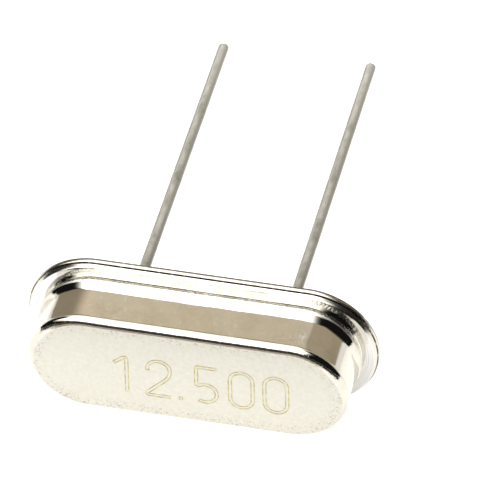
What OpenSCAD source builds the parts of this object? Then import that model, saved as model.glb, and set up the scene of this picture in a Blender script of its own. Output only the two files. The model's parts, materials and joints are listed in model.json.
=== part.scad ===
// Low-profile crystal unit: a drawn metal can resistance-welded to a flanged header.
// Two glass-sealed leads carry spring clips, and the clips carry a quartz strip.
//
// Everything is drawn in the unit's own axes (millimetres):
//   X along the long side, Y across, Z up from the underside of the header to the top of the can.
// rest() then lays the finished unit on its long side, on the header's edge and the can's rim.

/* [Header] */
// How far the header flange stands out past the can's wall at each end
flange_end = 0.55; // [0.35:0.01:0.8]
// How far the header flange stands out past the can's wall at each side
flange_side = 0.44; // [0.35:0.01:0.7]
// Thickness of the header flange
base_t = 0.22; // [0.15:0.01:0.4]
// Rounding on the edges of the header flange
edge_r = 0.08; // [0.02:0.01:0.09]
// Height of the plug that stands into the can
plug_h = 0.5; // [0.3:0.05:0.6]
// Clearance between the plug and the inside of the can
plug_gap = 0.1; // [0.03:0.01:0.2]
// Rounding on the top edge of the plug
plug_r = 0.12; // [0.05:0.01:0.2]

/* [Can] */
// Length of the can's wall
can_l = 10.0; // [8.3:0.1:14]
// Width of the can's wall
can_w = 3.6; // [3:0.05:5]
// Height over everything, from the underside of the header
can_h = 2.4; // [2:0.05:4.2]
// Thickness of the drawn sheet
sheet = 0.15; // [0.1:0.01:0.19]
// Outer radius of the rim round the top
rim_r = 0.2; // [0.2:0.01:0.35]
// How far the edge of the can's flange stands in from the edge of the header's
flange_step = 0.05; // [0.03:0.01:0.14]
// Rounding on the edges of the can's flange
flange_r = 0.04; // [0.02:0.01:0.06]
// How far the skirt at the foot stands out from the wall
skirt_out = 0.09; // [0.04:0.01:0.14]
// Height of the skirt above the can's flange
skirt_h = 0.24; // [0.15:0.01:0.3]
// Radius on the skirt's upper edge
skirt_r = 0.06; // [0.03:0.01:0.1]
// Radius of the hollow curve from the skirt up to the wall
flare_r = 0.98; // [0.4:0.02:1.1]
// Radius in the corner between the skirt and the flange
foot_r = 0.05; // [0.03:0.01:0.08]

/* [Leads] */
// Distance between the leads
pitch = 4.88; // [3.8:0.01:5.2]
// Diameter of a lead
lead_d = 0.43; // [0.35:0.01:0.5]
// Length of a lead below the header
lead_l = 13.2; // [3:0.1:20]
// Rounding on the tip of a lead
tip_r = 0.14; // [0.02:0.01:0.16]
// Diameter of the nail head inside the can
head_d = 0.9; // [0.8:0.01:1.05]
// Thickness of the nail head
head_t = 0.12; // [0.08:0.01:0.2]
// How far the wire thickens on its way up to the head
head_upset = 0.05; // [0.02:0.01:0.1]
// Gap between the glass and the nail head
head_gap = 0.06; // [0.03:0.01:0.15]
// Diameter of the glass seal
seal_d = 1.3; // [1.05:0.05:1.6]
// How far the glass stops short of the header's underside
seal_recess = 0.04; // [0.02:0.01:0.08]
// Depth of the hollow that the glass draws up between its walls
seal_hollow = 0.05; // [0.02:0.01:0.09]

/* [Crystal] */
// Thickness of the quartz strip
quartz_t = 0.185; // [0.06:0.005:0.4]
// Clearance from the end of the strip to the can's inside
quartz_end_gap = 0.85; // [0.7:0.05:1.4]
// Clearance from the side of the strip to the can's inside
quartz_side_gap = 0.7; // [0.5:0.05:0.9]
// Thickness of a silver film, drawn thicker than it is
film_t = 0.01; // [0.005:0.005:0.02]
// Length of an electrode's field
field_l = 3.4; // [2:0.1:4.5]
// Bare margin between an electrode's field and the strip's long sides
field_margin = 0.22; // [0.1:0.02:0.5]
// Width of the track from the field to the strip's end
track_w = 0.5; // [0.3:0.05:0.7]

/* [Clips] */
// Thickness of the clip's sheet
clip_t = 0.08; // [0.05:0.01:0.12]
// Width of a clip
clip_w = 0.9; // [0.6:0.05:1]
// Length of the pad welded to the nail head
pad_l = 0.9; // [0.7:0.05:1]
// Rise from the pad up to the shelf
clip_rise = 0.32; // [0.15:0.01:0.4]
// Run of the sloping part of the clip
slope_run = 0.24; // [0.15:0.01:0.4]
// Height of the end stop above the shelf
stop_h = 0.36; // [0.25:0.01:0.4]
// Width of the slot that makes the clip springy
slot_w = 0.34; // [0.2:0.02:0.4]
// Thickness of the silver adhesive under the strip
bond_t = 0.04; // [0.02:0.01:0.06]
// Adhesive between the strip's end and the clip's stop
bond_end = 0.08; // [0.05:0.01:0.12]
// Radius of the bead of adhesive
bond_r = 0.3; // [0.2:0.01:0.32]

/* [Hidden] */
$fn = 48;

// Plan shape: straight sides between two half-round ends. run is from the middle to an end's centre.
can_r = can_w / 2;
can_run = can_l / 2 - can_r;
base_r = can_r + flange_side;
base_run = can_l / 2 + flange_end - base_r;

// Can, from the flange up. Radii in the section are measured from the centre of a half-round end.
flange_top = base_t + sheet;
skirt_top = flange_top + skirt_h;
skirt_wall = can_r + skirt_out;
flare_x = can_r + flare_r;
flare_top = skirt_top + sqrt(skirt_out * (2 * (flare_r + skirt_r) - skirt_out));
skirt_in = skirt_wall - sheet;
flare_in_r = flare_r + sheet;
skirt_in_top = flare_top - sqrt(skirt_out * (2 * flare_in_r - skirt_out));
ceiling = can_h - sheet;
wall_in = can_r - sheet;
// height at which the flare leaves the skirt's rounded edge
flare_z = flare_top - (flare_top - skirt_top) * flare_r / (flare_r + skirt_r);
flare_y = flare_x - (flare_x - skirt_wall + skirt_r) * flare_r / (flare_r + skirt_r);

// Header and seals
plug_top = base_t + plug_h;
plug_wall = wall_in - plug_gap;
lead_x = pitch / 2;
lead_r = lead_d / 2;
seal_r = seal_d / 2;
head_z = plug_top + head_gap;
head_top = head_z + head_t;
neck_r = lead_r + head_upset;

// Quartz strip and clips
quartz_l = can_l - 2 * sheet - 2 * quartz_end_gap;
quartz_w = can_w - 2 * sheet - 2 * quartz_side_gap;
shelf_z = head_top + clip_rise;
shelf_top = shelf_z + clip_t;
quartz_z = shelf_top + bond_t;
quartz_top = quartz_z + quartz_t;
field_w = quartz_w - 2 * field_margin;
stop_x = quartz_l / 2 + bond_end;
slope_x = lead_x + pad_l / 2;

// Attitude at rest: a plane touches the can's rim and the rounding of one of the two flanges.
rim_y = can_r - rim_r;
rim_z = can_h - rim_r;
function lean(y, z, r) =
    let (dy = y - rim_y, dz = rim_z - z) atan2(dy, dz) - asin((rim_r - r) / norm([dy, dz]));
rest_tilt = max(lean(base_r - edge_r, base_t - edge_r, edge_r),
                lean(base_r - flange_step - flange_r, flange_top - flange_r, flange_r));
rest_z = rim_r + rim_y * cos(rest_tilt) + rim_z * sin(rest_tilt);
// middle of the unit's length on the ground, between the can's rim and the lead tips
far_can = rim_y * sin(rest_tilt) + rim_z * cos(rest_tilt) + rim_r;
far_tip = (lead_r - tip_r) * sin(rest_tilt) + (lead_l - tip_r) * cos(rest_tilt) + tip_r;
rest_y = (far_can - far_tip) / 2;

// Lays what is drawn on its long side, with the middle of its shadow at the origin.
module rest() {
    translate([0, rest_y, rest_z]) rotate([90 + rest_tilt, 0, 0]) children();
}

// ---- section helpers: X is the radius, Y is the height ----

// A quarter of a disc, filling the corner that points to (sx, sy) from its centre.
module quarter(x, y, r, sx, sy) {
    translate([x, y]) intersection() {
        circle(r);
        translate([sx > 0 ? 0 : -2 * r, sy > 0 ? 0 : -2 * r]) square(2 * r);
    }
}

// Half section of a plate from the axis out to w, its outer corners rounded by rb below and rt above.
module plate_section(w, z0, z1, rb, rt) {
    m = max(rb, rt);
    translate([0, z0]) square([w - m, z1 - z0]);
    translate([w - m, z0 + rb]) square([m, z1 - z0 - rb - rt]);
    if (rb > 0) quarter(w - rb, z0 + rb, rb, 1, -1);
    if (rt > 0) quarter(w - rt, z1 - rt, rt, 1, 1);
    if (rb < m) translate([w - m, z0]) square([m - rb, m]);
    if (rt < m) translate([w - m, z1 - m]) square([m - rt, m]);
}

// Carries a half section round the plan shape.
module racetrack(run) {
    for (a = [0, 180]) rotate([0, 0, a]) translate([run, 0, 0]) rotate([0, 0, -90])
        rotate_extrude(angle = 180) children();
    rotate([90, 0, 90]) translate([0, 0, -run]) linear_extrude(2 * run) {
        children();
        mirror([1, 0]) children();
    }
}

module mirrored(side) {
    mirror([side < 0 ? 1 : 0, 0, 0]) children();
}

// ---- can ----

// Outside of the can without its flange: skirt, hollow flare, wall and rolled rim.
module can_outside() {
    plate_section(can_r, base_t, can_h, 0, rim_r);
    difference() {
        translate([0, flare_z]) square([flare_y, flare_top - flare_z]);
        translate([flare_x, flare_top]) circle(flare_r);
    }
    translate([0, base_t]) square([skirt_wall - skirt_r, flare_z - base_t]);
    translate([skirt_wall - skirt_r, base_t]) square([skirt_r, skirt_top - base_t]);
    intersection() {
        translate([skirt_wall - skirt_r, skirt_top]) circle(skirt_r);
        translate([skirt_wall - skirt_r, skirt_top]) square([2 * skirt_r, flare_z - skirt_top]);
    }
    // hollow corner on top of the flange
    difference() {
        translate([skirt_wall, flange_top]) square(foot_r);
        translate([skirt_wall + foot_r, flange_top + foot_r]) circle(foot_r);
    }
}

// Inside of the can, one sheet thickness in, opening out where the flange is turned.
module can_inside() {
    turn_r = foot_r + sheet;
    plate_section(wall_in, base_t, ceiling, 0, rim_r - sheet);
    difference() {
        translate([0, skirt_in_top]) square([skirt_in, flare_top - skirt_in_top]);
        translate([flare_x, flare_top]) circle(flare_in_r);
    }
    translate([0, base_t]) square([skirt_in, skirt_in_top - base_t]);
    difference() {
        translate([skirt_in, base_t]) square(turn_r);
        translate([skirt_in + turn_r, base_t + turn_r]) circle(turn_r);
    }
}

module can() {
    color("silver") rest() difference() {
        union() {
            racetrack(can_run) can_outside();
            racetrack(base_run)
                plate_section(base_r - flange_step, base_t, flange_top, flange_r, flange_r);
        }
        racetrack(can_run) can_inside();
    }
}

// ---- header, seals and leads ----

module base() {
    color("lightsteelblue") rest() difference() {
        union() {
            racetrack(base_run) plate_section(base_r, 0, base_t, edge_r, edge_r);
            racetrack(can_run) plate_section(plug_wall, base_t, plug_top, 0, plug_r);
        }
        for (side = [-1, 1]) translate([side * lead_x, 0, -1]) cylinder(r = seal_r, h = plug_top + 2);
    }
}

// The wire grows from lead_r at the header's underside to neck_r under the nail head.
module lead_neck() {
    cylinder(r1 = lead_r, r2 = neck_r, h = head_z);
}

module glass_seal(side) {
    // a circle through both rims of the hollow, seal_hollow deep
    half = (seal_r - lead_r) / 2;
    hollow_r = (half * half + seal_hollow * seal_hollow) / (2 * seal_hollow);
    color("darkslateblue") rest() translate([side * lead_x, 0, 0]) difference() {
        rotate_extrude() difference() {
            translate([0, seal_recess]) square([seal_r, plug_top - seal_recess]);
            translate([lead_r + half, seal_recess + seal_hollow - hollow_r]) circle(hollow_r);
        }
        lead_neck();
    }
}

module lead(side) {
    color("gainsboro") rest() translate([side * lead_x, 0, 0]) union() {
        mirror([0, 0, 1]) rotate_extrude() plate_section(lead_r, 0, lead_l, 0, tip_r);
        lead_neck();
        translate([0, 0, head_z]) cylinder(d = head_d, h = head_t);
    }
}

// ---- clips, quartz, films and adhesive ----

function unit(v) = v / norm(v);
function left_of(v) = [-v[1], v[0]];
// Outline of a strip of thickness t bent along pts, with t laid to the left of the path.
function bent_strip(pts, t) = concat(pts, [for (i = [len(pts) - 1 : -1 : 0])
    let (a = unit(i > 0 ? pts[i] - pts[i - 1] : pts[1] - pts[0]),
         b = unit(i < len(pts) - 1 ? pts[i + 1] - pts[i] : a))
    pts[i] + t * (left_of(a) + left_of(b)) / (1 + a * b)]);

module clip(side) {
    path = [[lead_x - pad_l / 2, head_top], [slope_x, head_top], [slope_x + slope_run, shelf_z],
            [stop_x + clip_t, shelf_z], [stop_x + clip_t, shelf_top + stop_h]];
    color("khaki") rest() mirrored(side) difference() {
        rotate([90, 0, 0]) translate([0, 0, -clip_w / 2])
            linear_extrude(clip_w) polygon(bent_strip(path, clip_t));
        // round-ended slot down the slope
        translate([slope_x + slope_run / 2, 0, head_top - 1]) linear_extrude(shelf_top + 1) {
            square([slope_run + slot_w, slot_w], center = true);
            for (e = [-1, 1]) translate([e * (slope_run + slot_w) / 2, 0]) circle(d = slot_w);
        }
    }
}

module strip_shape() {
    translate([-quartz_l / 2, -quartz_w / 2, quartz_z]) cube([quartz_l, quartz_w, quartz_t]);
}

module quartz_strip() {
    color("aliceblue") rest() strip_shape();
}

// Field in the middle of the strip, with its track out to the end on the given side.
module electrode_shape(side, z) {
    mirrored(side) translate([0, 0, z]) linear_extrude(film_t) {
        square([field_l, field_w], center = true);
        translate([0, -track_w / 2]) square([quartz_l / 2, track_w]);
    }
}

module electrode_upper() {
    color("white") rest() electrode_shape(-1, quartz_top);
}

module electrode_lower() {
    color("white") rest() electrode_shape(1, quartz_z - film_t);
}

// A bead over the end of the strip, flat against the shelf and the stop of its clip.
module adhesive(side) {
    color("dimgray") rest() difference() {
        mirrored(side) intersection() {
            translate([quartz_l / 2, 0, quartz_z + quartz_t / 2]) rotate([0, 90, 0]) sphere(bond_r);
            translate([0, -bond_r, shelf_top]) cube([stop_x, 2 * bond_r, 4 * bond_r]);
        }
        strip_shape();
        electrode_shape(-1, quartz_top);
        electrode_shape(1, quartz_z - film_t);
    }
}

can();
base();
glass_seal(-1);  // glass_seal_left
glass_seal(1);  // glass_seal_right
lead(-1);  // lead_left
lead(1);  // lead_right
clip(-1);  // clip_left
clip(1);  // clip_right
quartz_strip();
electrode_upper();
electrode_lower();
adhesive(-1);  // adhesive_left
adhesive(1);  // adhesive_right
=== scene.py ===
import json
import math

import bmesh
import bpy
from mathutils import Matrix, Vector, noise


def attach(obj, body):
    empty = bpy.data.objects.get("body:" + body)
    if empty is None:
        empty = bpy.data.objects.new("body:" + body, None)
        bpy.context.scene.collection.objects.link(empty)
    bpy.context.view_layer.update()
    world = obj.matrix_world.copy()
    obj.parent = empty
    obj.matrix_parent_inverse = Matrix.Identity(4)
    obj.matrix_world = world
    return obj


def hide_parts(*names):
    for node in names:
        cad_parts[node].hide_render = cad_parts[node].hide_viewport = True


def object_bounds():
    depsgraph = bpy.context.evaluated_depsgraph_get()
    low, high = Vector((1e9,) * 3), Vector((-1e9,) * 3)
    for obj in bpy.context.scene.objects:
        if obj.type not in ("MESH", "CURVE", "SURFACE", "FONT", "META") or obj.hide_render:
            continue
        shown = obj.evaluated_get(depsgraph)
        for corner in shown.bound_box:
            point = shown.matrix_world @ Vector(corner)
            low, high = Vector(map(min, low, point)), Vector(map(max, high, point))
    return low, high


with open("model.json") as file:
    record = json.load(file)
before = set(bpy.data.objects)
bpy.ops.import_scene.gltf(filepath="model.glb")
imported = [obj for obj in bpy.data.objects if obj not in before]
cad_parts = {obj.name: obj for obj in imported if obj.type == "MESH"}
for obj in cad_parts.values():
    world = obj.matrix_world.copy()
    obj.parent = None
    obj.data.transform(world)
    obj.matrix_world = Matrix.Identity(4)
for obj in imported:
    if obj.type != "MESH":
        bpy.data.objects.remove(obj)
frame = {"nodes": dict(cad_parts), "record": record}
cad_low, cad_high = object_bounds()

# ---- The unit's own axes ----
# The unit lies on its long side. Pieces are drawn in millimetres in its own axes: X along the
# long side, Y across, Z up from the underside of the header to the top of the can. lay puts
# what is drawn there where the CAD says, from the face that seats on a board.
MM = 0.001
mounts = {m["name"]: m for m in frame["record"]["mounts"]}
away_from_board = -Vector(mounts["seat"]["axis"]).normalized()
along_unit = Vector((1, 0, 0))
turned = Matrix((along_unit, away_from_board.cross(along_unit), away_from_board)).transposed()
lay = Matrix.LocRotScale(Vector(mounts["seat"]["pos_m"]), turned, Vector((MM, MM, MM)))


def extent(node):
    """Lowest and highest corner of a CAD node along the unit's own axes, in millimetres."""
    points = [lay.inverted() @ v.co for v in frame["nodes"][node].data.vertices]
    return [Vector([pick(p[axis] for p in points) for axis in range(3)]) for pick in (min, max)]


# ---- Header ----
# A flanged plate pressed from steel and nickel plated. Its plug stands into the can, whose flange
# is welded to its own, and two holes through it take the glass seals.
header_high = extent("base")[1]
seal_low, seal_high = extent("glass_seal_right")
FLANGE_T = 0.22
EDGE_R = 0.08
PLUG_R = 0.12
header_r = header_high.y
header_run = header_high.x - header_r
plug_top = header_high.z
seal_r = (seal_high.x - seal_low.x) / 2
seal_x = (seal_high.x + seal_low.x) / 2
CAN_WALL_R = 1.8
# the flanges stand out this much further at the unit's ends than along its sides
END_STEP = 0.11
can_run = header_run - END_STEP
SHEET = 0.15
PLUG_GAP = 0.1
plug_r = CAN_WALL_R - SHEET - PLUG_GAP
TURN_STEPS = 72
STRAIGHT_CUTS = 60
ARC_STEPS = 8
SHARP_ANGLE = 40
NEAR = 1e-4
NICKEL = (0.66, 0.63, 0.555)
NICKEL_STAIN = (0.60, 0.56, 0.47)
NICKEL_ROUGH = 0.045
NICKEL_GRAIN = 0.001
EDGE_ROUGH = 0.22
EDGE_WEAR = (0.22, 0.20, 0.17)
JOINT_DIRT = (0.06, 0.05, 0.04)


def start_section(run, radius, height):
    """A new mesh with the first point of a half section, on the plane across an end's centre."""
    bm = bmesh.new()
    return bm, bm.verts.new((run, radius, height))


def line(bm, point, radius, height):
    """Draws the section on, straight to a radius and a height."""
    new = bmesh.ops.extrude_vert_indiv(bm, verts=[point])["verts"][0]
    new.co = (point.co.x, radius, height)
    return new


def arc(bm, point, radius, height, degrees, steps=ARC_STEPS):
    """Draws the section on, round a centre at a radius and a height."""
    last = bmesh.ops.spin(
        bm, geom=[point], cent=(point.co.x, radius, height), axis=(1, 0, 0),
        angle=math.radians(degrees), steps=steps, use_merge=False,
    )["geom_last"]
    return next(g for g in last if isinstance(g, bmesh.types.BMVert))


def racetrack(bm, run):
    """Carries a section round the plan shape: half a turn at each end, bridged along the sides."""
    right = bm.verts[:] + bm.edges[:]
    left = bmesh.ops.duplicate(bm, geom=right)["geom"]
    left_points = [g for g in left if isinstance(g, bmesh.types.BMVert)]
    bmesh.ops.translate(bm, verts=left_points, vec=(-2 * run, 0, 0))
    for geom, side in ((right, 1), (left, -1)):
        bmesh.ops.spin(
            bm, geom=geom, cent=(side * run, 0, 0), axis=(0, 0, 1),
            angle=-side * math.pi, steps=TURN_STEPS, use_merge=False,
        )
    for side in (1, -1):
        ends = [e for e in bm.edges if all(
            abs(abs(v.co.x) - run) < NEAR and v.co.y * side > 0 for v in e.verts)]
        bmesh.ops.bridge_loops(bm, edges=ends)
    lengths = [e for e in bm.edges if e.calc_length() > 2 * run - 1e-3]
    bmesh.ops.subdivide_edges(bm, edges=lengths, cuts=STRAIGHT_CUTS, use_grid_fill=True)


def rim_edges(bm, height):
    """The open edges at a height."""
    return [e for e in bm.edges if e.is_boundary and all(abs(v.co.z - height) < NEAR for v in e.verts)]


def add_piece(bm, name, nodes, material):
    """Lays a drawn piece in its place, as a finished object that stands for its CAD nodes."""
    bmesh.ops.remove_doubles(bm, verts=bm.verts[:], dist=1e-5)
    bmesh.ops.recalc_face_normals(bm, faces=bm.faces[:])
    bm.transform(lay)
    mesh = bpy.data.meshes.new(name)
    bm.to_mesh(mesh)
    bm.free()
    mesh.shade_smooth()
    mesh.set_sharp_from_angle(angle=math.radians(SHARP_ANGLE))
    piece = bpy.data.objects.new(name, mesh)
    bpy.context.scene.collection.objects.link(piece)
    mesh.materials.append(material)
    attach(piece, "root")
    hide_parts(*nodes)


def new_group(name, inputs, outputs):
    """An empty node group with named float or vector sockets, and its two end nodes."""
    group = bpy.data.node_groups.new(name, "ShaderNodeTree")
    for label, value in inputs.items():
        kind = "NodeSocketVector" if value is None else "NodeSocketFloat"
        socket = group.interface.new_socket(label, in_out="INPUT", socket_type=kind)
        if value is not None:
            socket.default_value = value
    for label in outputs:
        group.interface.new_socket(label, in_out="OUTPUT", socket_type="NodeSocketFloat")
    return group, group.nodes.new("NodeGroupInput"), group.nodes.new("NodeGroupOutput")


def add_node(tree, kind, links=None, **settings):
    """A node with its settings, and its inputs set to a value or linked from a socket."""
    node = tree.nodes.new("ShaderNode" + kind)
    for key, value in settings.items():
        setattr(node, key, value)
    for key, value in (links or {}).items():
        if isinstance(value, bpy.types.NodeSocket):
            tree.links.new(value, node.inputs[key])
        else:
            node.inputs[key].default_value = value
    return node


def ramp(tree, value, low, high, to_low=0.0, to_high=1.0):
    """A smooth step of a value from low to high."""
    return add_node(tree, "MapRange", {
        "Value": value, "From Min": low, "From Max": high, "To Min": to_low, "To Max": to_high,
    }, interpolation_type="SMOOTHSTEP").outputs["Result"]


def speckle(tree, place, size, detail, rough=0.5):
    """A random pattern. size is the number of grains in a millimetre."""
    return add_node(tree, "TexNoise", {
        "Vector": place, "Scale": size, "Detail": detail, "Roughness": rough}).outputs["Fac"]


def blend_colours(tree, amount, first, second):
    """Two colours mixed by an amount."""
    node = add_node(tree, "Mix", {"Factor": amount}, data_type="RGBA")
    for socket, colour in ((node.inputs[6], first), (node.inputs[7], second)):
        if isinstance(colour, bpy.types.NodeSocket):
            tree.links.new(colour, socket)
        else:
            socket.default_value = (*colour, 1)
    return node.outputs[2]


def plating_group():
    """What shows in plated metal close up: cloudy tone, dark pits and grain."""
    group, given, out = new_group(
        "plating", {"Place": None, "Clouds": 1.2, "Pits": 9.0, "Grain": 30.0}, ["Tone", "Pit", "Height"])
    place = given.outputs["Place"]
    tone = speckle(group, place, given.outputs["Clouds"], 5.0, 0.6)
    pit = ramp(group, speckle(group, place, given.outputs["Pits"], 3.0, 0.7), 0.66, 0.74)
    grain = speckle(group, place, given.outputs["Grain"], 2.0, 0.6)
    height = add_node(group, "Math", {0: grain, 1: pit}, operation="SUBTRACT").outputs["Value"]
    for label, socket in (("Tone", tone), ("Pit", pit), ("Height", height)):
        group.links.new(socket, out.inputs[label])
    return group


def reach_group():
    """How far out a point is from the line between the two ends' centres, in plan."""
    group, given, out = new_group("reach", {"Place": None, "Run": 1.0}, ["Reach"])
    parts = add_node(group, "SeparateXYZ", {"Vector": given.outputs["Place"]}).outputs
    along = add_node(group, "Math", {0: parts["X"]}, operation="ABSOLUTE").outputs["Value"]
    past = add_node(group, "Math", {
        0: along, 1: given.outputs["Run"]}, operation="SUBTRACT").outputs["Value"]
    past = add_node(group, "Math", {0: past, 1: 0.0}, operation="MAXIMUM").outputs["Value"]
    flat = add_node(group, "CombineXYZ", {"X": past, "Y": parts["Y"]}).outputs["Vector"]
    far = add_node(group, "VectorMath", {0: flat}, operation="LENGTH").outputs["Value"]
    group.links.new(far, out.inputs["Reach"])
    return group


plating = plating_group()
plan_reach = reach_group()


def new_material(name):
    """A material with a Principled BSDF, and a point on the piece in the unit's own axes."""
    material = bpy.data.materials.new(name)
    material.use_nodes = True
    tree = material.node_tree
    shader = tree.nodes["Principled BSDF"]
    spot = add_node(tree, "TexCoord")
    place, turn, scale = lay.decompose()
    unit = add_node(tree, "Mapping", {
        "Vector": spot.outputs["Object"], "Location": place, "Rotation": turn.to_euler(),
        "Scale": scale}, vector_type="TEXTURE")
    return material, tree, shader, unit.outputs["Vector"]


def plated_metal(name, colour, darker_tint, rough, grain_depth, clouds=1.2, pits=9.0, grain=30.0):
    """A plated metal with a cloudy tone, pits and fine grain, so many of each in a millimetre."""
    material, tree, shader, place = new_material(name)
    surface = add_node(tree, "Group", {
        "Place": place, "Clouds": clouds, "Pits": pits, "Grain": grain}, node_tree=plating)
    tone = ramp(tree, surface.outputs["Tone"], 0.35, 0.75)
    tinted = blend_colours(tree, tone, colour, darker_tint)
    pitted = blend_colours(tree, surface.outputs["Pit"], tinted, [c * 0.6 for c in darker_tint])
    tree.links.new(pitted, shader.inputs["Base Color"])
    shader.inputs["Metallic"].default_value = 1
    roughness = ramp(tree, surface.outputs["Tone"], 0.3, 0.8, rough, rough * 1.5)
    tree.links.new(roughness, shader.inputs["Roughness"])
    bump = add_node(tree, "Bump", {
        "Strength": 1.0, "Distance": grain_depth * MM, "Height": surface.outputs["Height"]})
    tree.links.new(bump.outputs["Normal"], shader.inputs["Normal"])
    return material, tree, shader, place


def reach_of(tree, place, run):
    """The plan distance of a point, and its height."""
    plan = add_node(tree, "Group", {"Place": place, "Run": run}, node_tree=plan_reach)
    height = add_node(tree, "SeparateXYZ", {"Vector": place}).outputs["Z"]
    return plan.outputs["Reach"], height


def product(tree, *values):
    """Masks multiplied together."""
    total = values[0]
    for value in values[1:]:
        total = add_node(tree, "Math", {0: total, 1: value}, operation="MULTIPLY").outputs["Value"]
    return total


def colour_over(tree, shader, mask, colour):
    """Lays a colour over the base colour where a mask is."""
    under = shader.inputs["Base Color"].links[0].from_socket
    tree.links.new(blend_colours(tree, mask, under, colour), shader.inputs["Base Color"])


def rough_over(tree, shader, mask, rough):
    """Lays a roughness over the surface's own where a mask is."""
    under = shader.inputs["Roughness"].links[0].from_socket
    mixed = add_node(tree, "Mix", {"Factor": mask, "A": under, "B": rough}, data_type="FLOAT")
    tree.links.new(mixed.outputs["Result"], shader.inputs["Roughness"])


def grime_group():
    """Where metal near the edge of a flange is torn or soiled, in patches between two heights."""
    group, given, out = new_group(
        "grime", {"Place": None, "Reach": 0.0, "Height": 0.0, "Edge": 1.0, "Low": 0.0, "High": 1.0},
        ["Soiled"])
    past_edge, above_low, above_high = (
        add_node(group, "Math", {0: given.outputs[value], 1: given.outputs[limit]},
                 operation="SUBTRACT").outputs["Value"]
        for value, limit in (("Reach", "Edge"), ("Height", "Low"), ("Height", "High")))
    patches = ramp(group, speckle(group, given.outputs["Place"], 5.0, 4.0, 0.7), 0.34, 0.5, 0.35, 1.0)
    soiled = product(group, ramp(group, past_edge, -0.1, -0.06), patches,
                     ramp(group, above_low, -0.01, 0.01), ramp(group, above_high, 0.01, -0.01))
    group.links.new(soiled, out.inputs["Soiled"])
    return group


flange_grime = grime_group()


def grime(tree, shader, place, distance, height, edge, low, high, colour):
    """Colours the torn or soiled metal near a flange's edge, between two heights."""
    soiled = add_node(tree, "Group", {
        "Place": place, "Reach": distance, "Height": height, "Edge": edge, "Low": low, "High": high,
    }, node_tree=flange_grime).outputs["Soiled"]
    colour_over(tree, shader, soiled, colour)


bm, point = start_section(header_run, header_r - 2 * EDGE_R, 0)
point = line(bm, point, header_r - EDGE_R, 0)
point = arc(bm, point, header_r - EDGE_R, EDGE_R, 90)
point = line(bm, point, header_r, FLANGE_T - EDGE_R)
point = arc(bm, point, header_r - EDGE_R, FLANGE_T - EDGE_R, 90)
point = line(bm, point, header_r - 2 * EDGE_R, FLANGE_T)
racetrack(bm, header_run)
flange = bm

bm, point = start_section(can_run, plug_r - 3 * PLUG_R, plug_top)
point = line(bm, point, plug_r - PLUG_R, plug_top)
point = arc(bm, point, plug_r - PLUG_R, plug_top - PLUG_R, -90)
point = line(bm, point, plug_r, FLANGE_T)
racetrack(bm, can_run)
plug = bpy.data.meshes.new("plug")
bm.to_mesh(plug)
bm.free()
flange.from_mesh(plug)
bpy.data.meshes.remove(plug)

bm = flange
bores = {height: [] for height in (0, plug_top)}
for side in (-1, 1):
    for height in bores:
        ring = bmesh.ops.create_circle(
            bm, segments=2 * TURN_STEPS, radius=seal_r, cap_ends=False,
            matrix=Matrix.Translation((side * seal_x, 0, height)))["verts"]
        bores[height].append([e for e in bm.edges if all(v in ring for v in e.verts)])
for lower, upper in zip(bores[0], bores[plug_top]):
    bmesh.ops.bridge_loops(bm, edges=lower + upper)
for height in (0, FLANGE_T, plug_top):
    bmesh.ops.triangle_fill(bm, edges=rim_edges(bm, height), use_beauty=True, normal=(0, 0, 1))


def header_finish():
    """Bright nickel plate, worn along the flange's lower edge and soiled at the joint with the can."""
    material, tree, shader, place = plated_metal(
        "header_metal", NICKEL, NICKEL_STAIN, NICKEL_ROUGH, NICKEL_GRAIN)
    distance, height = reach_of(tree, place, header_run)
    rough_over(tree, shader, ramp(tree, distance, header_r - 0.05, header_r - 0.03), EDGE_ROUGH)
    grime(tree, shader, place, distance, height, header_r, 0.0, 0.12, EDGE_WEAR)
    grime(tree, shader, place, distance, height, header_r, FLANGE_T - 0.025, FLANGE_T + 0.02, JOINT_DIRT)
    return material


add_piece(bm, "header", ["base"], header_finish())

# ---- Can ----
# One piece of thin sheet, deep drawn, with a turned-out flange. A skirt and a hollow flare lead
# up from the flange to the wall. It is nickel plated, glossy on its sides and matte on its top.
can_high = extent("can")[1]
can_top = can_high.z
flange_r = can_high.y
RIM_R = 0.2
SKIRT_OUT = 0.09
SKIRT_H = 0.24
SKIRT_R = 0.06
FLARE_R = 0.98
FOOT_R = 0.05
CAN_EDGE_R = 0.04
UNDERCUT = 16
BEAD = 0.007
BEAD_TURN = 9
CREASE_R = 0.02
EDGE_SLOPE = 0.06
# where rows of points go, as shares of the wall's height and of the flange's width
WALL_ROWS = (0.945, 0.93, 0.8, 0.6, 0.4, 0.2, 0.01, 0.0)
LEDGE_ROWS = (0.03, 0.33, 0.67, 0.97, 1.0)
PLATE_RINGS = 12
PLATE_RING_W = 0.12
# depth and size of the sheet's waviness, which fades out towards the top face
WAVES = ((0.006, 1.1), (0.0025, 0.35))
WAVES_FADE_H = 0.12
face_r = CAN_WALL_R - RIM_R
flange_top = FLANGE_T + SHEET
skirt_top = flange_top + SKIRT_H
skirt_wall = CAN_WALL_R + SKIRT_OUT
flare_centre = CAN_WALL_R + FLARE_R
flare_top = skirt_top + math.sqrt(SKIRT_OUT * (2 * (FLARE_R + SKIRT_R) - SKIRT_OUT))
flare_turn = math.degrees(math.asin((flare_top - skirt_top) / (FLARE_R + SKIRT_R)))
inner_turn = math.degrees(math.acos((FLARE_R + SHEET - SKIRT_OUT) / (FLARE_R + SHEET)))
inner_skirt_top = flare_top - (FLARE_R + SHEET) * math.sin(math.radians(inner_turn))
ceiling = can_top - SHEET
inner_r = CAN_WALL_R - SHEET
turn_r = FOOT_R + SHEET


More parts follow.
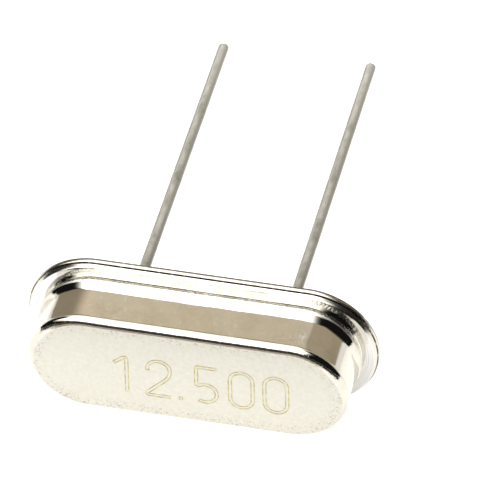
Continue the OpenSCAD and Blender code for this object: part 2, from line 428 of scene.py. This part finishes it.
def unevenness(bm, depth, size, keep=lambda point: 1):
    """Works a slight waviness of a depth and a size into a surface, as far as keep lets it."""
    bmesh.ops.recalc_face_normals(bm, faces=bm.faces[:])
    bm.normal_update()
    moves = [v.normal * depth * keep(v.co) * noise.noise(v.co / size) for v in bm.verts]
    for v, move in zip(bm.verts, moves):
        v.co += move


bm, point = start_section(can_run, face_r + BEAD, can_top)
point = arc(bm, point, face_r + BEAD, can_top - RIM_R, -90 - BEAD_TURN, steps=18)
wall_h = can_top - RIM_R - flare_top
for share in WALL_ROWS:
    point = line(bm, point, CAN_WALL_R, flare_top + share * wall_h)
point = arc(bm, point, flare_centre, flare_top, flare_turn, steps=12)
point = arc(bm, point, skirt_wall - SKIRT_R, skirt_top, -flare_turn - UNDERCUT, steps=8)
lean = math.tan(math.radians(UNDERCUT))
neck_top = point.co.copy()
neck_h = neck_top.z - flange_top - CREASE_R
for drop in (0.005, neck_h - 0.004, neck_h):
    point = line(bm, point, neck_top.y - drop * lean, neck_top.z - drop)
crease = point.co.y + CREASE_R
point = line(bm, point, crease, flange_top)
ledge = flange_r - EDGE_SLOPE - crease
for share in LEDGE_ROWS:
    point = line(bm, point, crease + share * ledge, flange_top)
point = line(bm, point, flange_r, FLANGE_T + CAN_EDGE_R)
point = arc(bm, point, flange_r - CAN_EDGE_R, FLANGE_T + CAN_EDGE_R, -90, steps=6)
point = line(bm, point, skirt_wall - SHEET + turn_r, FLANGE_T)
point = arc(bm, point, skirt_wall - SHEET + turn_r, FLANGE_T + turn_r, -90, steps=6)
point = line(bm, point, skirt_wall - SHEET, inner_skirt_top)
point = arc(bm, point, flare_centre, flare_top, -inner_turn, steps=6)
point = line(bm, point, inner_r, ceiling - RIM_R + SHEET)
point = arc(bm, point, inner_r - RIM_R + SHEET, ceiling - RIM_R + SHEET, 90, steps=4)
racetrack(bm, can_run)
bmesh.ops.edgeloop_fill(bm, edges=rim_edges(bm, ceiling))
plate = bmesh.ops.edgeloop_fill(bm, edges=rim_edges(bm, can_top))["faces"]
for _ in range(PLATE_RINGS):
    bmesh.ops.inset_region(bm, faces=plate, thickness=PLATE_RING_W, use_even_offset=True)

# the flange is drawn out along the unit at both ends, from nothing at its crease
for v in bm.verts:
    out_from_line = math.hypot(max(abs(v.co.x) - can_run, 0), v.co.y)
    outward = min(max((out_from_line - crease) / ledge, 0), 1)
    v.co.x += END_STEP * outward * min(max(v.co.x / can_run, -1), 1)


def below_plate(point):
    """Nothing on the top face, growing to all of it a little way down the rim."""
    return min(max((can_top - point.z) / WAVES_FADE_H, 0), 1)


for depth, size in WAVES:
    unevenness(bm, depth, size, below_plate)

MATTE = (0.685, 0.665, 0.59)
MATTE_MOTTLE = (0.63, 0.605, 0.53)
MATTE_ROUGH = 0.5
SPECK = (0.33, 0.29, 0.2)
# colour of a painted reflection: a dark line along one side of the top face's rim
RIM_PAINTED_REFLECTION = (0.22, 0.19, 0.14)
RIDGE_ROUGH = 0.4
# colour of a painted highlight on the flange's flat top
LEDGE_PAINTED_HIGHLIGHT = (0.70, 0.69, 0.655)
LEDGE_STREAK = (0.36, 0.33, 0.27)


def band(tree, value, start, full, fading, end):
    """A mask that is full between two values and falls off outside them."""
    return product(tree, ramp(tree, value, start, full), ramp(tree, value, end, fading))


def bump_over(tree, shader, mask, place, size, depth):
    """Adds coarser grain where a mask is. size is the number of grains in a millimetre."""
    under = shader.inputs["Normal"].links[0].from_socket
    added = add_node(tree, "Bump", {
        "Strength": mask, "Distance": depth * MM, "Height": speckle(tree, place, size, 3.0, 0.6),
        "Normal": under})
    tree.links.new(added.outputs["Normal"], shader.inputs["Normal"])


def dull_top(tree, shader, place, distance, height):
    """The matte top face, mottled and specked near the rim, and a dark line painted along the rim on one
    side, a painted reflection.
    """
    edge = add_node(tree, "Math", {
        0: speckle(tree, place, 9.0, 4.0, 0.7), 1: 0.06, 2: distance},
        operation="MULTIPLY_ADD").outputs["Value"]
    across = add_node(tree, "SeparateXYZ", {"Vector": place}).outputs["Y"]
    worn_edge = add_node(tree, "Math", {
        0: edge, 1: ramp(tree, across, 1.1, -0.4, 0.0, 0.13)}, operation="SUBTRACT").outputs["Value"]
    face = product(tree, ramp(tree, height, can_top - 0.09, can_top - 0.05),
                   ramp(tree, worn_edge, face_r + 0.025, face_r - 0.04))
    rough_over(tree, shader, face, MATTE_ROUGH)
    mottle = ramp(tree, speckle(tree, place, 7.0, 6.0, 0.75), 0.3, 0.7)
    colour_over(tree, shader, face, blend_colours(tree, mottle, MATTE, MATTE_MOTTLE))
    specks = product(tree, face, ramp(tree, distance, face_r - 0.45, face_r),
                     ramp(tree, speckle(tree, place, 16.0, 3.0, 0.7), 0.54, 0.68))
    colour_over(tree, shader, specks, SPECK)
    rim = product(tree, ramp(tree, height, can_top - 0.06, can_top - 0.03), ramp(tree, face, 1.0, 0.0))
    bump_over(tree, shader, rim, place, 16.0, 0.005)
    # painted reflection: a dark line along the rim on the upper side, standing for the dark surroundings
    # that the glossy rim reflects
    darker_tint = product(tree, ramp(tree, height, can_top - 0.012, can_top - 0.006),
                    ramp(tree, edge, face_r - 0.02, face_r + 0.02), ramp(tree, across, 1.15, 1.45))
    colour_over(tree, shader, darker_tint, RIM_PAINTED_REFLECTION)


def rough_ridges(tree, shader, place, height):
    """Grain over the skirt's edge, and duller bands just above it and just under the rim."""
    crest = band(tree, height, skirt_top - 0.16, skirt_top - 0.12, skirt_top, skirt_top + 0.04)
    bump_over(tree, shader, crest, place, 12.0, 0.03)
    for low in (skirt_top + 0.03, can_top - RIM_R - 0.02):
        rough_over(tree, shader, band(tree, height, low - 0.02, low, low + 0.03, low + 0.06), RIDGE_ROUGH)


def drawn_flange(tree, shader, place, height):
    """The flange: a dull edge, a top painted paler as a painted highlight, with fine streaks along it,
    and a soiled joint.
    """
    distance, _ = reach_of(tree, place, header_run)
    edge = product(tree, ramp(tree, height, flange_top - 0.005, flange_top - 0.02),
                   ramp(tree, distance, flange_r - 0.1, flange_r - 0.08))
    rough_over(tree, shader, edge, EDGE_ROUGH)
    # painted highlight: the flange's flat top is painted paler and whiter than the nickel elsewhere
    top = band(tree, height, flange_top - 0.01, flange_top - 0.004, flange_top + 0.004, flange_top + 0.01)
    colour_over(tree, shader, top, LEDGE_PAINTED_HIGHLIGHT)
    along = add_node(tree, "SeparateXYZ", {"Vector": place}).outputs["X"]
    drawn_out = add_node(tree, "CombineXYZ", {
        "X": product(tree, along, 0.4), "Y": product(tree, distance, 22.0)}).outputs["Vector"]
    streaks = ramp(tree, speckle(tree, drawn_out, 1.0, 3.0), 0.5, 0.72, 0.0, 0.55)
    colour_over(tree, shader, product(tree, top, streaks), LEDGE_STREAK)
    grime(tree, shader, place, distance, height, flange_r, FLANGE_T - 0.02, FLANGE_T + 0.035, JOINT_DIRT)


def can_finish():
    """Nickel plate that is glossy round the sides and dulled on the top face."""
    material, tree, shader, place = plated_metal(
        "can_metal", NICKEL, NICKEL_STAIN, NICKEL_ROUGH, NICKEL_GRAIN)
    distance, height = reach_of(tree, place, can_run)
    dull_top(tree, shader, place, distance, height)
    rough_ridges(tree, shader, place, height)
    drawn_flange(tree, shader, place, height)
    return material


add_piece(bm, "drawn_can", ["can"], can_finish())

# ---- Seals and leads ----
# Each lead is plated wire that passes through a bead of dark glass, fused between the wire and
# the header's hole, and ends in a nail head inside the can.
lead_low, lead_high = extent("lead_right")
LEAD_R = 0.215
TIP_R = 0.14
HEAD_T = 0.12
HEAD_UPSET = 0.05
SEAL_RECESS = 0.04
SEAL_HOLLOW = 0.05
LEAD_ROWS = 99
TINNED = (0.50, 0.485, 0.43)
TINNED_STAIN = (0.37, 0.355, 0.30)
TINNED_NEAR_HEADER = (0.27, 0.255, 0.215)
TINNED_NEAR_TIP = (0.75, 0.735, 0.68)
# colour of a painted reflection: near white along the wire's outline as seen
OUTLINE_PAINTED_REFLECTION = (1.0, 1.0, 0.98)
LEAD_ROUGH = 0.6
LEAD_OUTLINE_ROUGH = 0.15
LEAD_GRAIN = 0.006
head_r = (lead_high.x - lead_low.x) / 2
head_top = lead_high.z
head_z = head_top - HEAD_T
neck_r = LEAD_R + HEAD_UPSET
half_gap = (seal_r - LEAD_R) / 2
hollow_r = (half_gap ** 2 + SEAL_HOLLOW ** 2) / (2 * SEAL_HOLLOW)
hollow_turn = math.degrees(math.asin(half_gap / hollow_r))


def spin_round(bm, side):
    """Spins a section all the way round a lead's centre line."""
    bmesh.ops.spin(
        bm, geom=bm.verts[:] + bm.edges[:], cent=(side * seal_x, 0, 0), axis=(0, 0, 1),
        angle=math.tau, steps=TURN_STEPS, use_merge=True)


def glass_finish():
    """Dark fused glass with small bubbles."""
    bubble, glass = (0.10, 0.12, 0.12), (0.025, 0.035, 0.04)
    material, tree, shader, place = new_material("seal_glass")
    bubbles = add_node(tree, "TexVoronoi", {"Vector": place, "Scale": 14.0})
    near = ramp(tree, bubbles.outputs["Distance"], 0.05, 0.25)
    colour = blend_colours(tree, near, bubble, glass)
    tree.links.new(colour, shader.inputs["Base Color"])
    shader.inputs["Roughness"].default_value = 0.08
    shader.inputs["Coat Weight"].default_value = 0.6
    shader.inputs["Coat Roughness"].default_value = 0.03
    bump = add_node(tree, "Bump", {
        "Strength": 0.6, "Distance": 0.01 * MM, "Height": bubbles.outputs["Distance"]})
    tree.links.new(bump.outputs["Normal"], shader.inputs["Normal"])
    return material


seal_glass = glass_finish()


def lead_finish():
    """Dull tinned wire, darker near the header and paler near its tip, with a painted white
    reflection towards its outline, where it also turns glossy."""
    material, tree, shader, place = plated_metal(
        "lead_wire", TINNED, TINNED_STAIN, LEAD_ROUGH, LEAD_GRAIN, clouds=1.6, pits=7.0, grain=22.0)
    along = add_node(tree, "SeparateXYZ", {"Vector": place}).outputs["Z"]
    colour_over(tree, shader, ramp(tree, along, -5.0, 0.0, 0.0, 0.8), TINNED_NEAR_HEADER)
    colour_over(tree, shader, ramp(tree, along, -8.0, -13.0, 0.0, 0.35), TINNED_NEAR_TIP)
    # painted reflection: the wire is painted near white towards its outline as seen, standing for the
    # white floor it reflects there
    facing = add_node(tree, "LayerWeight", {"Blend": 0.5}).outputs["Facing"]
    outline = ramp(tree, facing, 0.35, 0.65)
    colour_over(tree, shader, outline, OUTLINE_PAINTED_REFLECTION)
    rough_over(tree, shader, outline, LEAD_OUTLINE_ROUGH)
    return material


lead_wire = lead_finish()
for side, word in ((-1, "left"), (1, "right")):
    bm, point = start_section(side * seal_x, LEAD_R, SEAL_RECESS)
    point = arc(bm, point, LEAD_R + half_gap, SEAL_RECESS + SEAL_HOLLOW - hollow_r, -2 * hollow_turn,
                steps=16)
    point = line(bm, point, seal_r, plug_top)
    point = line(bm, point, neck_r, plug_top)
    point = line(bm, point, LEAD_R, SEAL_RECESS)
    spin_round(bm, side)
    add_piece(bm, "glass_bead_" + word, ["glass_seal_" + word], seal_glass)

    bm, point = start_section(side * seal_x, 0, lead_low.z)
    point = line(bm, point, LEAD_R - TIP_R, lead_low.z)
    point = arc(bm, point, LEAD_R - TIP_R, lead_low.z + TIP_R, 90)
    for row in range(1, LEAD_ROWS + 1):
        point = line(bm, point, LEAD_R, (lead_low.z + TIP_R) * (1 - row / LEAD_ROWS))
    point = line(bm, point, neck_r, head_z)
    point = line(bm, point, head_r, head_z)
    point = line(bm, point, head_r, head_top)
    point = line(bm, point, 0, head_top)
    spin_round(bm, side)
    unevenness(bm, depth=0.003, size=1.8)
    add_piece(bm, "wire_lead_" + word, ["lead_" + word], lead_wire)


# ---- Clips, quartz, films and adhesive ----
# Inside the sealed can: two spring clips of thin sheet stand on the nail heads and hold a
# lapped strip of quartz with a silver film on each face, stuck with silver adhesive.
def give_finish(node, material):
    """Puts a finish on a CAD node whose shape is right."""
    piece = frame["nodes"][node]
    piece.data.materials.clear()
    piece.data.materials.append(material)


def quartz_finish():
    """Clear quartz with lapped, slightly frosted faces."""
    material, tree, shader, place = new_material("quartz")
    lapping = speckle(tree, place, 40.0, 3.0)
    shader.inputs["Base Color"].default_value = (0.93, 0.95, 0.96, 1)
    shader.inputs["Transmission Weight"].default_value = 0.9
    shader.inputs["IOR"].default_value = 1.54
    tree.links.new(ramp(tree, lapping, 0.3, 0.7, 0.12, 0.3), shader.inputs["Roughness"])
    return material


def adhesive_finish():
    """Silver-filled adhesive: dull grey with fine bright flakes."""
    resin, flake = (0.30, 0.295, 0.28), (0.68, 0.67, 0.65)
    material, tree, shader, place = new_material("silver_adhesive")
    flakes = add_node(tree, "TexVoronoi", {"Vector": place, "Scale": 45.0})
    bright = ramp(tree, flakes.outputs["Distance"], 0.1, 0.4, 1.0, 0.0)
    colour = blend_colours(tree, bright, resin, flake)
    tree.links.new(colour, shader.inputs["Base Color"])
    tree.links.new(bright, shader.inputs["Metallic"])
    shader.inputs["Roughness"].default_value = 0.45
    return material


clip_metal, *_ = plated_metal(
    "clip_metal", colour=(0.64, 0.60, 0.50), darker_tint=(0.56, 0.52, 0.42), rough=0.18, grain_depth=0.004)
silver_film, *_ = plated_metal(
    "silver_film", colour=(0.90, 0.89, 0.86), darker_tint=(0.84, 0.82, 0.78), rough=0.12, grain_depth=0.002)
quartz = quartz_finish()
silver_adhesive = adhesive_finish()
for node in ("clip_left", "clip_right"):
    give_finish(node, clip_metal)
for node in ("electrode_upper", "electrode_lower"):
    give_finish(node, silver_film)
for node in ("adhesive_left", "adhesive_right"):
    give_finish(node, silver_adhesive)
give_finish("quartz_strip", quartz)

# ---- Marking ----
# A plain number on the can's top face, drawn by a fine tool that follows the outline of each
# stroke, so every stroke shows as two thin straw-coloured lines.
DIGIT_H = 1.56
DIGIT_W = 0.84
STROKE_W = 0.13
LINE_W = 0.03
INK_T = 0.002
INK_LIFT = 0.003
MARK_Y = -0.95


def pen_down(x, y, heading):
    """Sets the stroke's nib, a short edge across the heading, in degrees from the X axis."""
    bm = bmesh.new()
    side = Vector((math.cos(math.radians(heading + 90)), math.sin(math.radians(heading + 90)), 0))
    middle = Vector((x, y, 0))
    ends = [bm.verts.new(middle + side * STROKE_W / 2), bm.verts.new(middle - side * STROKE_W / 2)]
    return bm, bm.edges.new(ends), heading


def stroke(bm, nib, heading, *moves):
    """Carries the nib along: a length straight on, or (turn in degrees, radius)."""
    for move in moves:
        if isinstance(move, tuple):
            turn, radius = move
            side = math.radians(heading + math.copysign(90, turn))
            middle = (nib.verts[0].co + nib.verts[1].co) / 2
            centre = middle + radius * Vector((math.cos(side), math.sin(side), 0))
            steps = max(2, round(abs(turn) / 9))
            last = bmesh.ops.spin(
                bm, geom=[nib, *nib.verts], cent=centre, axis=(0, 0, 1),
                angle=math.radians(turn), steps=steps, use_merge=False)["geom_last"]
            heading += turn
        else:
            last = bmesh.ops.extrude_edge_only(bm, edges=[nib])["geom"]
            ahead = Vector((math.cos(math.radians(heading)), math.sin(math.radians(heading)), 0))
            ends = [g for g in last if isinstance(g, bmesh.types.BMVert)]
            bmesh.ops.translate(bm, verts=ends, vec=ahead * move)
        nib = next(g for g in last if isinstance(g, bmesh.types.BMEdge)
                   and not any(v in nib.verts for v in g.verts))


def one():
    """The figure one."""
    bm, nib, heading = pen_down(-0.22, DIGIT_H - 0.36, 40)
    stroke(bm, nib, heading, 0.38, (-130, STROKE_W / 2), DIGIT_H - 0.2)
    return bm


def two():
    """The figure two."""
    r = DIGIT_W / 2 - STROKE_W / 2
    bm, nib, heading = pen_down(-r, DIGIT_H - r - 0.13, 90)
    stroke(bm, nib, heading, 0.06, (-180, r), (-45, 0.6), 0.765, (135, STROKE_W / 2), 0.67)
    return bm


def five():
    """The figure five."""
    bm, nib, heading = pen_down(0.34, DIGIT_H - STROKE_W / 2, 180)
    stroke(bm, nib, heading, 0.58, (90, STROKE_W / 2), 0.62, (120, STROKE_W / 2), (-245, 0.36))
    return bm


def nought():
    """The figure nought."""
    r = DIGIT_W / 2 - STROKE_W / 2
    side = DIGIT_H - DIGIT_W
    bm, nib, heading = pen_down(r, DIGIT_H / 2, 90)
    stroke(bm, nib, heading, side / 2, (180, r), side, (180, r), side / 2)
    return bm


def dot():
    """The decimal point."""
    bm, nib, heading = pen_down(0, 0.02, 90)
    stroke(bm, nib, heading, 0.13)
    return bm


def marking_finish():
    """Pale straw-coloured marks, uneven where the tool lifted."""
    straw, worn = (0.66, 0.60, 0.34), (0.43, 0.36, 0.13)
    material, tree, shader, place = new_material("marking")
    strength = ramp(tree, speckle(tree, place, 5.0, 4.0), 0.35, 0.65)
    colour = blend_colours(tree, strength, straw, worn)
    tree.links.new(colour, shader.inputs["Base Color"])
    shader.inputs["Metallic"].default_value = 0.7
    shader.inputs["Roughness"].default_value = 0.5
    return material


marking = bmesh.new()
for glyph, x in ((one, -2.07), (two, -0.88), (dot, -0.2), (five, 0.604), (nought, 1.71), (nought, 2.79)):
    bm = glyph()
    bmesh.ops.remove_doubles(bm, verts=bm.verts[:], dist=NEAR)
    inside = bm.faces[:]
    bmesh.ops.inset_region(bm, faces=inside, thickness=LINE_W, use_even_offset=True, use_boundary=True)
    bmesh.ops.delete(bm, geom=inside, context="FACES")
    grown = bmesh.ops.extrude_face_region(bm, geom=bm.faces[:])["geom"]
    tops = [g for g in grown if isinstance(g, bmesh.types.BMVert)]
    bmesh.ops.translate(bm, verts=tops, vec=(0, 0, INK_T))
    bmesh.ops.translate(bm, verts=bm.verts[:], vec=(x, MARK_Y, can_top + INK_LIFT))
    glyph_mesh = bpy.data.meshes.new("glyph")
    bm.to_mesh(glyph_mesh)
    bm.free()
    marking.from_mesh(glyph_mesh)
    bpy.data.meshes.remove(glyph_mesh)
add_piece(marking, "top_marking", [], marking_finish())

# ---- Floor, lights and camera ----
# A plain white floor with two level soft boxes over it. Behind stand three warm lit cards and,
# low down, two white ones. A black cloth lies in front and the room is dark, because bright
# metal shows only what it reflects.
FLOOR_SIZE = 1.2
FLOOR_GREY = 0.6
FLOOR_GLOW = 0.75
OVERHEAD_Z = 0.3
OVERHEAD_BRIGHTNESS = 3.0
CARD_Y = 0.18
CLOTH_SIZE = 0.4
CLOTH_Y = -0.2125
CLOTH_Z = 0.0001
CLOTH_GREY = 0.01
ROOM_SEEN = (1.0, 1.0, 1.0)
ROOM_LIGHT = (0.01, 0.01, 0.01)


def level_square(name, size, y, z, grey, rough):
    """A level square painted one grey, and its paint's inputs."""
    bm = bmesh.new()
    bmesh.ops.create_grid(
        bm, x_segments=2, y_segments=2, size=size / 2, matrix=Matrix.Translation((0, y, z)))
    mesh = bpy.data.meshes.new(name)
    bm.to_mesh(mesh)
    bm.free()
    square = bpy.data.objects.new(name, mesh)
    bpy.context.scene.collection.objects.link(square)
    paint = bpy.data.materials.new(name + "_paint")
    paint.use_nodes = True
    mesh.materials.append(paint)
    inputs = paint.node_tree.nodes["Principled BSDF"].inputs
    inputs["Base Color"].default_value = (grey, grey, grey, 1)
    inputs["Roughness"].default_value = rough
    return square, inputs


floor, floor_inputs = level_square("floor", FLOOR_SIZE, 0, 0, FLOOR_GREY, 0.9)
floor_inputs["Emission Color"].default_value = (1, 1, 1, 1)
floor_inputs["Emission Strength"].default_value = FLOOR_GLOW


def soft_box(name, place, aim, width, depth, brightness, colour=(1, 1, 1), fade=(0.0, 0.0), curve=1.0):
    """A rectangular light facing a point. brightness is how bright its face looks, and fade is the
    share of its width over which its two sides fall off. A curve over 1 makes that more gradual."""
    lamp = bpy.data.lights.new(name, "AREA")
    lamp.shape = "RECTANGLE"
    lamp.size, lamp.size_y = width, depth
    lamp.energy = brightness * math.pi * width * depth
    lamp.color = colour
    lamp.use_nodes = True
    tree = lamp.node_tree
    across = add_node(tree, "SeparateXYZ", {
        "Vector": add_node(tree, "NewGeometry").outputs["Parametric"]}).outputs["X"]
    face = product(tree, ramp(tree, across, -0.001, fade[0]), ramp(tree, across, 1.001, 1 - fade[1]))
    bent = add_node(tree, "Math", {0: face, 1: curve}, operation="POWER").outputs["Value"]
    tree.links.new(bent, tree.nodes["Emission"].inputs["Strength"])
    box = bpy.data.objects.new(name, lamp)
    box.location = place
    box.rotation_euler = (Vector(aim) - Vector(place)).to_track_quat("-Z", "Y").to_euler()
    box.visible_camera = False
    bpy.context.scene.collection.objects.link(box)


def overhead(name, left, right, front, back, fade):
    """A soft box that hangs level over the table, facing down."""
    x, y = (left + right) / 2, (front + back) / 2
    soft_box(name, (x, y, OVERHEAD_Z), (x, y, 0), right - left, back - front, OVERHEAD_BRIGHTNESS,
             fade=fade, curve=2.0)


def card(name, left, right, bottom, top, brightness, colour=(1, 1, 1), fade=(0.0, 0.0), y=CARD_Y):
    """A lit card that stands upright behind the unit. Its left and right are the camera's, which
    are the other way round on its own face."""
    x, z = (left + right) / 2, (bottom + top) / 2
    soft_box(name, (x, y, z), (x, 0, z), right - left, top - bottom, brightness, colour,
             (fade[1], fade[0]))


overhead("overhead_back", left=-0.356, right=0.176, front=-0.05, back=0.173, fade=(0.4, 0.3))
overhead("overhead_front", left=-0.84, right=0.235, front=-1.12, back=-0.05, fade=(0.5, 0.14))
card("behind", left=-0.17, right=0.073, bottom=0.184, top=0.30, brightness=0.78,
     colour=(1.0, 0.89, 0.71), fade=(0.4, 0.0))
# this one overlaps the last, and lights in one plane don't add up, so it stands 1 mm further back
card("behind_left", left=-0.25, right=-0.04, bottom=0.03, top=0.30, brightness=0.36,
     colour=(1.0, 0.85, 0.65), fade=(0.2, 0.5), y=CARD_Y + 0.001)
card("behind_right", left=0.073, right=0.26, bottom=0.055, top=0.30, brightness=0.5,
     colour=(1.0, 0.86, 0.65), fade=(0.0, 0.45))
card("sweep", left=-0.30, right=0.05, bottom=0.0, top=0.03, brightness=1.1)
card("sweep_right", left=0.05, right=0.23, bottom=0.0, top=0.055, brightness=1.1)

# the black cloth, hidden from the camera and casting no shadow
cloth, _ = level_square("cloth", CLOTH_SIZE, CLOTH_Y, CLOTH_Z, CLOTH_GREY, 1)
cloth.visible_camera = False
cloth.visible_shadow = False

# the room: white where the camera sees it past the floor, nearly black as a light
world = bpy.data.worlds.new("studio")
bpy.context.scene.world = world
world.use_nodes = True
surroundings = world.node_tree.nodes["Background"]
seen = add_node(world.node_tree, "LightPath").outputs["Is Camera Ray"]
tone = blend_colours(world.node_tree, seen, ROOM_LIGHT, ROOM_SEEN)
world.node_tree.links.new(tone, surroundings.inputs["Color"])

# the camera: degrees round, above and turned, metres away, millimetres of lens, and the point
# it aims at, in millimetres from the unit's middle
AZIMUTH, ELEVATION, ROLL = 11.79, 30.226, 2.043
DISTANCE = 0.19145
LENS = 437.3
AIM = Vector((0.306, -0.152, -0.36))
target = (cad_low + cad_high) / 2 + AIM * MM
around, above = math.radians(AZIMUTH), math.radians(ELEVATION)
back = Vector((math.sin(around) * math.cos(above), -math.cos(around) * math.cos(above), math.sin(above)))
lens = bpy.data.cameras.new("camera")
lens.lens = LENS
lens.clip_start, lens.clip_end = 0.01, 10
camera = bpy.data.objects.new("camera", lens)
camera.location = target + back * DISTANCE
level = (-back).to_track_quat("-Z", "Y").to_matrix()
camera.rotation_euler = (level @ Matrix.Rotation(math.radians(ROLL), 3, "Z")).to_euler()
bpy.context.scene.collection.objects.link(camera)
bpy.context.scene.camera = camera
bpy.context.scene.view_settings.view_transform = "Standard"
